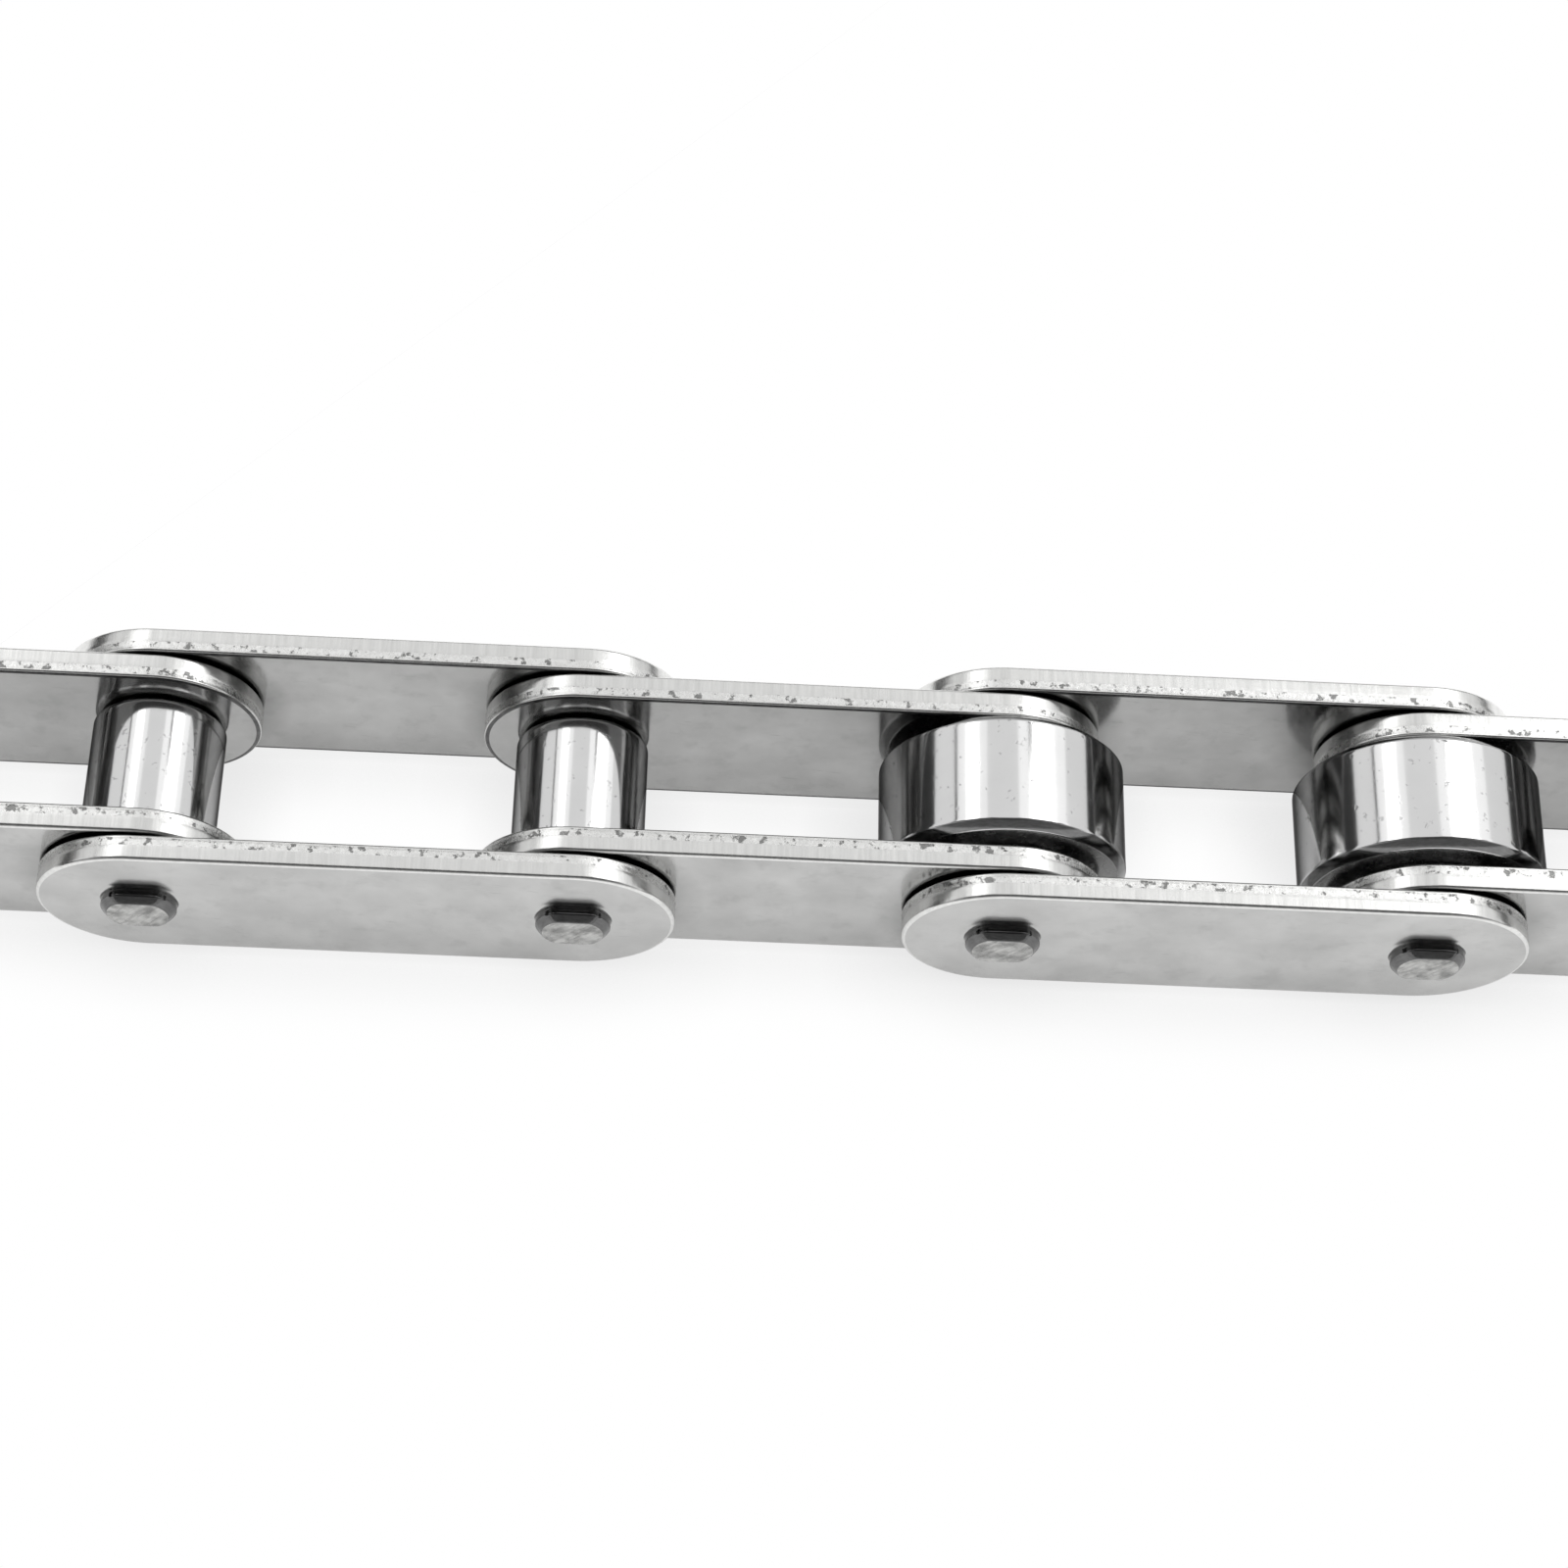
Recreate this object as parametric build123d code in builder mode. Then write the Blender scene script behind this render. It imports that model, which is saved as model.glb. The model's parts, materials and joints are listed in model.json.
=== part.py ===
from build123d import *
import os

# Double-pitch roller chain for conveyors: a straight strand of five links, inner and outer by turns.
# X runs along the chain, Y along the pins and Z up the height of the plates. The origin is the centre
# of the first bush. "front" is the -Y side of the strand, "back" the +Y side. All sizes are in mm.

# Driving dimensions
pitch = 38.10                 # from pin to pin, twice that of the transmission chain of the same series
inner_width = 12.70           # between the two inner plates of a link
plate_thickness = 2.40
plate_height = 18.00
plate_rim_radius = 0.35       # rolled-over rim that the punch leaves on each plate's outward face
plate_gap = 0.25              # air between an inner plate and the outer plate beside it

pin_diameter = 5.96
pin_flat_depth = 0.50         # how far each of the two flats cuts into the pin's end
head_height = 1.25            # riveted head, proud of the outer plate
head_spread = 0.35            # how far riveting spreads the head beyond the pin, all round
head_chamfer = 0.65

pin_clearance = 0.05          # radial, pin in bush
bush_wall = 1.12
bush_proud = 0.10             # how far a bush stands out of its inner plates, at each end
bush_bore_chamfer = 0.25

roller_clearance = 0.07       # radial, roller on bush
roller_side_play = 0.15       # axial, at each end of a roller
roller_bore_chamfer = 0.30
small_roller_diameter = 11.91
small_roller_edge_radius = 0.80
large_roller_diameter = 22.23
large_roller_chamfer = 0.75
large_hub_diameter = 14.00    # ring at each end that bears against the inner plate
large_rim_setback = 0.60      # how far the rim's end stands back from the hub's

# One entry for each bush, from the left end: the kind of roller that turns on it
roller_kinds = ["small", "small", "small", "large", "large", "large"]

# Derived sizes
pin_radius = pin_diameter / 2
pin_half_flat = pin_radius - pin_flat_depth
head_radius = pin_radius + head_spread
head_half_flat = pin_half_flat + head_spread
bush_bore_radius = pin_radius + pin_clearance
bush_radius = bush_bore_radius + bush_wall
roller_bore_radius = bush_radius + roller_clearance
small_roller_wall = small_roller_diameter / 2 - roller_bore_radius
small_roller_edge = min(small_roller_edge_radius, 0.6 * small_roller_wall)
plate_rim = min(plate_rim_radius, 0.4 * plate_thickness)

inner_face_y = inner_width / 2                                 # inward face of an inner plate
outer_face_y = inner_face_y + plate_thickness + plate_gap      # inward face of an outer plate
head_seat_y = outer_face_y + plate_thickness                   # outward face of an outer plate
bush_half_length = inner_face_y + plate_thickness + bush_proud
roller_half_length = inner_face_y - roller_side_play
large_rim_half_length = roller_half_length - large_rim_setback

link_count = len(roller_kinds) - 1
sides = {"front": -1, "back": 1}


def pin_x(index):
    """Place along the chain of one pin or bush axis, counted from the left end."""
    return index * pitch


def outward_plane(x, y, side):
    """Plane square to the pins, whose normal points out of the chain on the given side."""
    return Plane(origin=(x, side * y, 0), x_dir=(1, 0, 0), z_dir=(0, side, 0))


def double_d(radius, half_flat):
    """Circle cut by two flats, one above and one below its centre."""
    with BuildSketch() as outline:
        Circle(radius)
        Rectangle(2 * radius, 2 * half_flat, mode=Mode.INTERSECT)
    return outline.sketch


def save(shape, label):
    """Label one finished piece and write it as its own STEP file."""
    shape.label = label
    export_step(shape, f"parts/{label}.step")


def make_inner_plate(link, side):
    """Round-ended plate with two round holes that its bushes are pressed into."""
    middle = pin_x(link) + pitch / 2
    with BuildPart() as inner_plate:
        with BuildSketch(outward_plane(middle, inner_face_y, side)):
            SlotCenterToCenter(pitch, plate_height)
            with GridLocations(pitch, 0, 2, 1):
                Circle(bush_radius, mode=Mode.SUBTRACT)
        extrude(amount=plate_thickness)
        outward_face = inner_plate.faces().filter_by(Axis.Y).sort_by(Axis.Y)[0 if side < 0 else -1]
        fillet(outward_face.outer_wire().edges(), plate_rim)
    return inner_plate.part


def make_outer_plate(link, side):
    """Round-ended plate with two double-D holes that keep its riveted pins from turning."""
    middle = pin_x(link) + pitch / 2
    with BuildPart() as outer_plate:
        with BuildSketch(outward_plane(middle, outer_face_y, side)):
            SlotCenterToCenter(pitch, plate_height)
            with GridLocations(pitch, 0, 2, 1):
                add(pin_end_outline, mode=Mode.SUBTRACT)
        extrude(amount=plate_thickness)
        outward_face = outer_plate.faces().filter_by(Axis.Y).sort_by(Axis.Y)[0 if side < 0 else -1]
        fillet(outward_face.outer_wire().edges(), plate_rim)
    return outer_plate.part


def make_bush(index):
    """Hardened tube that joins the two inner plates and carries a roller."""
    with BuildPart() as bush:
        with BuildSketch(outward_plane(pin_x(index), 0, 1)):
            Circle(bush_radius)
            Circle(bush_bore_radius, mode=Mode.SUBTRACT)
        extrude(amount=bush_half_length, both=True)
        circles = bush.edges().filter_by(GeomType.CIRCLE).group_by(SortBy.RADIUS)
        chamfer(circles[0], bush_bore_chamfer)
    return bush.part


def make_small_roller(index):
    """Plain ring with rounded rims, lower than the plates, free to spin on its bush."""
    with BuildPart() as roller:
        with BuildSketch(outward_plane(pin_x(index), 0, 1)):
            Circle(small_roller_diameter / 2)
            Circle(roller_bore_radius, mode=Mode.SUBTRACT)
        extrude(amount=roller_half_length, both=True)
        circles = roller.edges().filter_by(GeomType.CIRCLE).group_by(SortBy.RADIUS)
        fillet(circles[-1], small_roller_edge)
        chamfer(circles[0], roller_bore_chamfer)
    return roller.part


def make_large_roller(index):
    """Ring that stands above and below the plates and carries the load, with a hub at each end."""
    with BuildPart() as roller:
        with BuildSketch(outward_plane(pin_x(index), 0, 1)):
            Circle(large_hub_diameter / 2)
        extrude(amount=roller_half_length, both=True)
        with BuildSketch(outward_plane(pin_x(index), 0, 1)):
            Circle(large_roller_diameter / 2)
        extrude(amount=large_rim_half_length, both=True)
        with BuildSketch(outward_plane(pin_x(index), 0, 1)):
            Circle(roller_bore_radius)
        extrude(amount=roller_half_length, both=True, mode=Mode.SUBTRACT)
        circles = roller.edges().filter_by(GeomType.CIRCLE).group_by(SortBy.RADIUS)
        chamfer(circles[-1], large_roller_chamfer)
        chamfer(circles[0], roller_bore_chamfer)
    return roller.part


def make_pin(index):
    """Round pin with double-D ends in the outer plates and a riveted head outside each plate."""
    x = pin_x(index)
    with BuildPart() as pin:
        with BuildSketch(outward_plane(x, 0, 1)):
            Circle(pin_radius)
        extrude(amount=outer_face_y, both=True)
        for side in sides.values():
            with BuildSketch(outward_plane(x, outer_face_y, side)):
                add(pin_end_outline)
            extrude(amount=plate_thickness)
            with BuildSketch(outward_plane(x, head_seat_y, side)):
                add(head_outline)
            extrude(amount=head_height - head_chamfer)
            with BuildSketch(outward_plane(x, head_seat_y + head_height - head_chamfer, side)):
                add(head_outline)
            extrude(amount=head_chamfer, taper=45)
    return pin.part


os.makedirs("parts", exist_ok=True)

pin_end_outline = double_d(pin_radius, pin_half_flat)
head_outline = double_d(head_radius, head_half_flat)

for link in range(link_count):
    number = link // 2 + 1
    for side_name, side in sides.items():
        if link % 2 == 0:
            save(make_inner_plate(link, side), f"inner_plate_{number}_{side_name}")
        else:
            save(make_outer_plate(link, side), f"outer_plate_{number}_{side_name}")

make_roller = {"small": make_small_roller, "large": make_large_roller}
made = {"small": 0, "large": 0}
for index, kind in enumerate(roller_kinds):
    made[kind] += 1
    save(make_bush(index), f"bush_{index + 1}")
    save(make_roller[kind](index), f"{kind}_roller_{made[kind]}")

for index in range(1, link_count):
    save(make_pin(index), f"pin_{index}")
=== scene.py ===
import json
import math

import bmesh
import bpy
import numpy as np
from bpy.props import FloatProperty, FloatVectorProperty, IntProperty, PointerProperty
from mathutils import Matrix, Vector, geometry


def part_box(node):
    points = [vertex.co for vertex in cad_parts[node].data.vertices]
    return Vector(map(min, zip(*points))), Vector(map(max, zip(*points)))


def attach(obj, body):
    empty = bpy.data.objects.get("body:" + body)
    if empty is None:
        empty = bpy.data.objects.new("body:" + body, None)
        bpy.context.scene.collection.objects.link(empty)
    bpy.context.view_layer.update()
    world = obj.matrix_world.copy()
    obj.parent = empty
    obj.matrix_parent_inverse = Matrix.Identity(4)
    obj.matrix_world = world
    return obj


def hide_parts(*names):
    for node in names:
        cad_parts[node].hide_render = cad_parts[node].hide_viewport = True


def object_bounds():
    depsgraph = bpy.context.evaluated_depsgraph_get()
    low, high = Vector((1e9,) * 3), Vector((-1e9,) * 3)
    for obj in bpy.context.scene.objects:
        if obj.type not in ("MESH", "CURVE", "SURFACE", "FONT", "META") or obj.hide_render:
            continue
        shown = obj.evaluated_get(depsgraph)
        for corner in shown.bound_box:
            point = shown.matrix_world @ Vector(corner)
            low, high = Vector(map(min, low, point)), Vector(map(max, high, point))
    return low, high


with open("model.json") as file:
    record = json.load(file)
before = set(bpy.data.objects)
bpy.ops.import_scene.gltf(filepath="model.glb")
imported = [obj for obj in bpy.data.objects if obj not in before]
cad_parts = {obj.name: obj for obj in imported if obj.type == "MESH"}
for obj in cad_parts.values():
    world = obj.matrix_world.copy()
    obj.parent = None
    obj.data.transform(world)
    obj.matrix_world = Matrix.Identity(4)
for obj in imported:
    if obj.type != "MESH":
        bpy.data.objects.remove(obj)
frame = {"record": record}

bl_info = {
    "name": "Conveyor Roller Chain",
    "version": (1, 0, 0),
    "blender": (4, 5, 0),
    "location": "View3D > Sidebar > Chain",
    "description": "Dresses a strand of double-pitch roller chain and its studio",
    "category": "Object",
}

# Metres. X runs along the strand, Y along the pins, Z up the height of the plates. "front" is the
# -Y side. Every place below is read from the frame, so the dressed pieces lie where its pieces lie.
MM = 0.001

cad_low, cad_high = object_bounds()


def nodes_of(kind):
    """The nodes whose names start with a kind, counted from the strand's left end."""
    names = [row["node"] for row in frame["record"]["subparts"]]
    return [name for name in names if name.startswith(kind)]


link_count = len(nodes_of("inner_plate") + nodes_of("outer_plate")) // 2
inner_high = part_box("inner_plate_1_back")[1]
outer_low, outer_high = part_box("outer_plate_1_back")
bush_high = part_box("bush_1")[1]
small_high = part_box("small_roller_1")[1]
large_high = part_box("large_roller_1")[1]
pin_low, pin_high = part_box("pin_1")

left_mount, right_mount = frame["record"]["mounts"]
pitch = (right_mount["pos_m"][0] - left_mount["pos_m"][0]) / link_count
axis_places = [left_mount["pos_m"][0] + pitch * index for index in range(link_count + 1)]
half_height = inner_high.z
bush_radius = bush_high.z
pin_radius = pin_high.z
head_spread = (pin_high.x - pin_low.x) / 2 - pin_radius

# Numbers of the finishes in the lists of a plate's, a turned piece's and a pin's materials
ROLLED, TORN, SHEARED, JOINT, BURR_SHADE = range(5)
TREAD, TURNED, CHAMFERED = range(3)
FLANK, RIVETED = range(2)

# Edges that turn by more than these stay sharp, and the rest is shaded smooth
PLATE_CREASE = math.radians(38)
TURNED_CREASE = math.radians(30)
PIN_CREASE = math.radians(34)

# Lip that riveting raises on an outer plate, from the pin's head outward: (distance from the head,
# share of the lip's height)
LIP_PROFILE = ((0.03 * MM, 0.0), (0.14 * MM, 1.0), (0.30 * MM, 1.0), (0.52 * MM, 0.4), (0.75 * MM, 0.0))


def centre_of(node):
    """Place of a node's middle along the strand, which is on an axis or halfway between two."""
    low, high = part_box(node)
    halves = round((low.x + high.x - 2 * axis_places[0]) / pitch)
    return axis_places[0] + halves * pitch / 2


def body_of(node):
    """The body that a node belongs to."""
    bodies = frame["record"]["behaviour"]["bodies"]
    return next(body for body, members in bodies.items() if node in members)


# ---------------------------------------------------------------------------------------------
# Meshes
# ---------------------------------------------------------------------------------------------

class Shell:
    """A closed mesh gathered ring by ring, each face with the number of its finish."""

    def __init__(self):
        self.points = []
        self.faces = []
        self.finishes = []

    def ring(self, points):
        """Adds a closed ring of points and returns their numbers."""
        start = len(self.points)
        self.points.extend(tuple(point) for point in points)
        return list(range(start, len(self.points)))

    def band(self, first, second, finish):
        """Joins two rings of as many points with a band of quads."""
        for here in range(len(first)):
            ahead = (here + 1) % len(first)
            self.faces.append((first[here], first[ahead], second[ahead], second[here]))
            self.finishes.append(finish)

    def bands(self, rings, finishes):
        """Joins rings in order, the finish of each band given by its place."""
        for first, second, finish in zip(rings, rings[1:], finishes):
            self.band(first, second, finish)

    def close(self, ring, centre, finish):
        """Closes a ring with a fan about a centre point."""
        middle = len(self.points)
        self.points.append(tuple(centre))
        for here in range(len(ring)):
            self.faces.append((ring[here], ring[(here + 1) % len(ring)], middle))
            self.finishes.append(finish)

    def fill(self, loops, finish):
        """Fills the flat space inside the first loop and outside the others."""
        numbers = [number for loop in loops for number in loop]
        outlines = [[self.points[number] for number in loop] for loop in loops]
        flat = [[Vector((x, z, 0)) for x, y, z in outline] for outline in outlines]
        for triangle in geometry.tessellate_polygon(flat):
            self.faces.append(tuple(numbers[corner] for corner in triangle))
            self.finishes.append(finish)

    def piece(self, node, materials, crease):
        """Makes the object that stands for a node and rides on that node's body."""
        name = f"dressed_{node}"
        mesh = bpy.data.meshes.new(name)
        mesh.from_pydata(self.points, [], self.faces)
        for material in materials:
            mesh.materials.append(material)
        mesh.polygons.foreach_set("material_index", self.finishes)
        mesh.update()
        turn_outward(mesh)
        mesh.shade_smooth()
        mesh.set_sharp_from_angle(angle=crease)
        made = bpy.data.objects.new(name, mesh)
        bpy.context.scene.collection.objects.link(made)
        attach(made, body_of(node))
        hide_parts(node)


def turn_outward(mesh):
    """Makes all the face normals of a closed mesh point outward."""
    work = bmesh.new()
    work.from_mesh(mesh)
    bmesh.ops.recalc_face_normals(work, faces=work.faces)
    work.to_mesh(mesh)
    work.free()


def quarter(radius, steps):
    """Offsets round a quarter circle: (inset from the side, drop from the end) pairs, side first."""
    angles = np.linspace(0, math.pi / 2, steps + 1)
    return [(radius * (1 - math.cos(angle)), radius * (1 - math.sin(angle))) for angle in angles]


def slot_path(step):
    """Points (x, z) round a plate's outline about its middle, and the outward direction at each."""
    least_along, least_around = 8, 24
    along = max(least_along, round(pitch / step))
    around = max(least_around, round(math.pi * half_height / step))
    points, directions = [], []
    for side in (1, -1):
        for number in range(along):
            points.append((side * (number / along - 0.5) * pitch, -side * half_height))
            directions.append((0, -side))
        for number in range(around):
            angle = math.pi * (number / around - side / 2)
            x, z = math.cos(angle), math.sin(angle)
            points.append((side * pitch / 2 + half_height * x, half_height * z))
            directions.append((x, z))
    return np.array(points), np.array(directions)


def smooth_noise(generator, count, reach):
    """Random heights round a closed path, each averaged over its neighbours."""
    heights = generator.normal(size=count)
    weights = np.hanning(2 * reach + 1)
    wrapped = np.concatenate([heights[-reach:], heights, heights[:reach]])
    smooth = np.convolve(wrapped, weights / weights.sum(), mode="valid")
    return smooth / np.abs(smooth).max()


def double_d_ring(x, y, radius, half_flat, segments):
    """Ring about a pin's axis: a circle cut by a flat above and below, with eased corners."""
    corner_sharpness = 28
    least_sine = 1e-6           # keeps the flats' reach finite at the ring's two sides
    angles = np.arange(segments) * 2 * math.pi / segments
    flat_reach = half_flat / np.maximum(np.abs(np.sin(angles)), least_sine)
    reach = (radius ** -corner_sharpness + flat_reach ** -corner_sharpness) ** (-1 / corner_sharpness)
    return [(x + far * math.cos(angle), y, far * math.sin(angle)) for far, angle in zip(reach, angles)]


def round_ring(x, y, radius, segments):
    """Ring about a pin's axis."""
    angles = np.arange(segments) * 2 * math.pi / segments
    return [(x + radius * math.cos(angle), y, radius * math.sin(angle)) for angle in angles]


def edge_rows(sizes, thickness, count, generator, outward_face):
    """Rows of points across a punched edge, from a plate's inward face to its outward face: (depth
    from the inward face, inset from the outline, roughness, finish of the band up to the row)."""
    torn_count, lean, calm = 6, 1.4, 0.3        # the torn band leans inward, and is calm where it ends
    shear_count, step_width = 4, 0.06 * MM
    burr_count, burr_shade_rows, rim_count = 5, 3, 7
    burr, rim = sizes.burr_radius, sizes.rim_radius
    torn = sizes.torn_share * thickness
    still = np.zeros(count)

    # The inward face's support ring and the first rows round the inward edge carry a dark line of painted
    # shade.
    rows = [(0, burr + sizes.support_width, still, BURR_SHADE)]
    for number, (inset, drop) in enumerate(reversed(quarter(burr, burr_count))):
        rows.append((drop, inset, still, BURR_SHADE if number < burr_shade_rows else SHEARED))
    for number in range(1, torn_count + 1):
        share = number / torn_count
        tear = smooth_noise(generator, count, 1) * sizes.tear_depth
        inset = sizes.tear_depth * lean * (1 - share) + sizes.tear_depth
        rows.append((burr + (torn - burr) * share, inset, tear * (calm if share == 1 else 1), TORN))
    streak = smooth_noise(generator, count, 1) * sizes.streak_depth
    shear_start, shear_end = torn + step_width, thickness - rim
    for number in range(shear_count + 1):
        depth = shear_start + (shear_end - shear_start) * number / shear_count
        rows.append((depth, sizes.streak_depth, streak, SHEARED))
    for inset, drop in quarter(rim, rim_count)[1:]:
        rows.append((thickness - drop, inset + sizes.streak_depth, still, SHEARED))
    rows.append((thickness, rim + sizes.support_width, still, outward_face))
    return rows


def hole_rows(sizes, thickness, lip_height):
    """Rows of points through a plate's hole, inward face first: (depth from the inward face,
    distance outside the hole). A plate with a lip carries it round the hole's outward end."""
    edge = sizes.hole_chamfer
    rows = [(0, edge + sizes.support_width), (0, edge), (edge, 0)]
    rows += [(thickness - edge / 2, 0), (thickness, edge / 2)]
    if lip_height > 0:
        rows += [(thickness + lip_height * share, head_spread + gap) for gap, share in LIP_PROFILE]
    return rows + [(thickness, rows[-1][1] + sizes.support_width)]


def plate_shell(node, sizes, seed, hole_ring, lip_height):
    """A punched plate: rolled-over rim, smooth shear band, torn band and a tumbled burr edge with a
    painted dark shade line along it, with two holes.
    An outer plate has a ring of painted shade on its inward face, and an inner plate on its outward face."""
    wave_reach = 14
    inward_face, outward_face = (JOINT, ROLLED) if lip_height > 0 else (ROLLED, JOINT)
    low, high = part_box(node)
    middle_x = centre_of(node)
    side = 1 if low.y > 0 else -1
    inward_y, outward_y = (low.y, high.y) if side > 0 else (high.y, low.y)
    thickness = abs(outward_y - inward_y)
    path, outward = slot_path(sizes.edge_step)
    path = path + (middle_x, 0)
    generator = np.random.default_rng(seed)
    waves = (smooth_noise(generator, len(path), wave_reach) - 1) / 2 * sizes.waviness
    shell = Shell()

    edge = edge_rows(sizes, thickness, len(path), generator, outward_face)
    rings = []
    for depth, inset, roughness, finish in edge:
        offset = roughness + waves * (inset < sizes.rim_radius) - inset
        flat = path + outward * offset[:, None]
        rings.append(shell.ring((x, inward_y + side * depth, z) for x, z in flat))
    shell.bands(rings, [finish for depth, inset, roughness, finish in edge[1:]])

    rows = hole_rows(sizes, thickness, lip_height)
    finishes = [inward_face, SHEARED, SHEARED, SHEARED]
    finishes += [outward_face] * (len(rows) - 1 - len(finishes))
    inward_loops, outward_loops = [rings[0]], [rings[-1]]
    for x in (middle_x - pitch / 2, middle_x + pitch / 2):
        hole = [shell.ring(hole_ring(x, inward_y + side * depth, grow)) for depth, grow in rows]
        shell.bands(hole, finishes)
        inward_loops.append(hole[0])
        outward_loops.append(hole[-1])
    shell.fill(inward_loops, inward_face)
    shell.fill(outward_loops, outward_face)
    return shell


def lathe(node, profile, segments):
    """Turns a closed profile of (place along Y, radius, finish of the band up to the next point)."""
    x = centre_of(node)
    shell = Shell()
    rings = [shell.ring(round_ring(x, y, radius, segments)) for y, radius, finish in profile]
    shell.bands(rings + rings[:1], [finish for y, radius, finish in profile])
    return shell


def mirrored(half):
    """A whole profile from its +Y half, which runs from the tread round to the bore."""
    front_finishes = [finish for y, radius, finish in reversed(half[:-1])] + [TREAD]
    front = [(-y, radius) for y, radius, finish in reversed(half)]
    return half + [(y, radius, finish) for (y, radius), finish in zip(front, front_finishes)]


# ---------------------------------------------------------------------------------------------
# Finishes
# ---------------------------------------------------------------------------------------------

class Finish:
    """A metal made of nodes, with short calls for the nodes it uses."""

    def __init__(self, name, metal, roughness):
        self.material = bpy.data.materials.new(name)
        self.material.use_nodes = True
        self.tree = self.material.node_tree
        self.shader = self.tree.nodes["Principled BSDF"]
        self.shader.inputs["Metallic"].default_value = 1.0
        self.shader.inputs["Base Color"].default_value = (*metal, 1)
        self.shader.inputs["Roughness"].default_value = roughness
        self.place = self.tree.nodes.new("ShaderNodeTexCoord").outputs["Object"]
        self.height = None

    def join(self, source, target):
        """Links one socket to another."""
        self.tree.links.new(source, target)

    def stretched(self, scale, turn):
        """Object coordinates turned about the pins' axis and stretched by a scale on each axis."""
        mapping = self.tree.nodes.new("ShaderNodeMapping")
        mapping.vector_type = "TEXTURE"
        mapping.inputs["Rotation"].default_value = (0, math.radians(turn), 0)
        mapping.inputs["Scale"].default_value = [1 / each for each in scale]
        self.join(self.place, mapping.inputs["Vector"])
        return mapping.outputs["Vector"]

    def noise(self, scale, detail, roughness, stretch=(1, 1, 1), turn=0):
        """Cloudy noise, its scale in waves per metre."""
        node = self.tree.nodes.new("ShaderNodeTexNoise")
        node.inputs["Scale"].default_value = scale
        node.inputs["Detail"].default_value = detail
        node.inputs["Roughness"].default_value = roughness
        self.join(self.stretched(stretch, turn), node.inputs["Vector"])
        return node.outputs["Fac"]

    def maths(self, kind, first, second=0.0):
        """A value worked out from two others, of which the second may be a plain number."""
        node = self.tree.nodes.new("ShaderNodeMath")
        node.operation = kind
        self.join(first, node.inputs[0])
        if isinstance(second, float):
            node.inputs[1].default_value = second
        else:
            self.join(second, node.inputs[1])
        return node.outputs[0]

    def ring_distance(self):
        """0 where a neighbour's round end turns on a plate, rising to 1 a little way outside it."""
        fade_end = 1.30 * half_height
        parts = self.tree.nodes.new("ShaderNodeSeparateXYZ")
        self.join(self.place, parts.inputs[0])
        steps = self.maths("DIVIDE", self.maths("SUBTRACT", parts.outputs["X"], axis_places[0]), pitch)
        nearest = self.maths("MINIMUM", self.maths("ADD", steps, 0.5), link_count - 0.5)
        nearest = self.maths("FLOOR", self.maths("MAXIMUM", nearest, 1.0))
        beside = self.maths("SUBTRACT", steps, nearest)
        from_axis = self.tree.nodes.new("ShaderNodeCombineXYZ")
        self.join(self.maths("MULTIPLY", beside, pitch), from_axis.inputs["X"])
        self.join(parts.outputs["Z"], from_axis.inputs["Z"])
        length = self.tree.nodes.new("ShaderNodeVectorMath")
        length.operation = "LENGTH"
        self.join(from_axis.outputs[0], length.inputs[0])
        spread = self.tree.nodes.new("ShaderNodeMapRange")
        spread.inputs["From Min"].default_value = half_height
        spread.inputs["From Max"].default_value = fade_end
        self.join(length.outputs["Value"], spread.inputs["Value"])
        return spread.outputs["Result"]

    def ramp(self, source, stops):
        """A run of colours or greys over a value."""
        node = self.tree.nodes.new("ShaderNodeValToRGB")
        elements = node.color_ramp.elements
        while len(elements) < len(stops):
            elements.new(0.5)
        for element, (place, colour) in zip(elements, stops):
            element.position = place
            element.color = (colour, colour, colour, 1) if isinstance(colour, float) else (*colour, 1)
        self.join(source, node.inputs["Fac"])
        return node.outputs["Color"]

    def mix(self, kind, share, first, second):
        """Two colours combined, through the colour sockets that a Mix node has by number."""
        node = self.tree.nodes.new("ShaderNodeMix")
        node.data_type = "RGBA"
        node.blend_type = kind
        node.inputs[0].default_value = share
        self.join(first, node.inputs[6])
        self.join(second, node.inputs[7])
        return node.outputs[2]

    def span(self, source, low, high):
        """A value from 0 to 1 spread between two limits."""
        node = self.tree.nodes.new("ShaderNodeMapRange")
        node.inputs["To Min"].default_value = low
        node.inputs["To Max"].default_value = high
        self.join(source, node.inputs["Value"])
        return node.outputs["Result"]

    def colour(self, source):
        """Gives the metal its colour."""
        self.join(source, self.shader.inputs["Base Color"])

    def rough(self, source):
        """Gives the metal its roughness."""
        self.join(source, self.shader.inputs["Roughness"])

    def bump(self, source, depth):
        """Adds relief of a depth in metres on top of any there already."""
        node = self.tree.nodes.new("ShaderNodeBump")
        node.inputs["Distance"].default_value = depth
        self.join(source, node.inputs["Height"])
        if self.height is not None:
            self.join(self.height, node.inputs["Normal"])
        self.height = node.outputs["Normal"]
        self.join(self.height, self.shader.inputs["Normal"])


def shade(colour, factor):
    """A colour made lighter or darker."""
    return tuple(min(1.0, channel * factor) for channel in colour)


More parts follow.
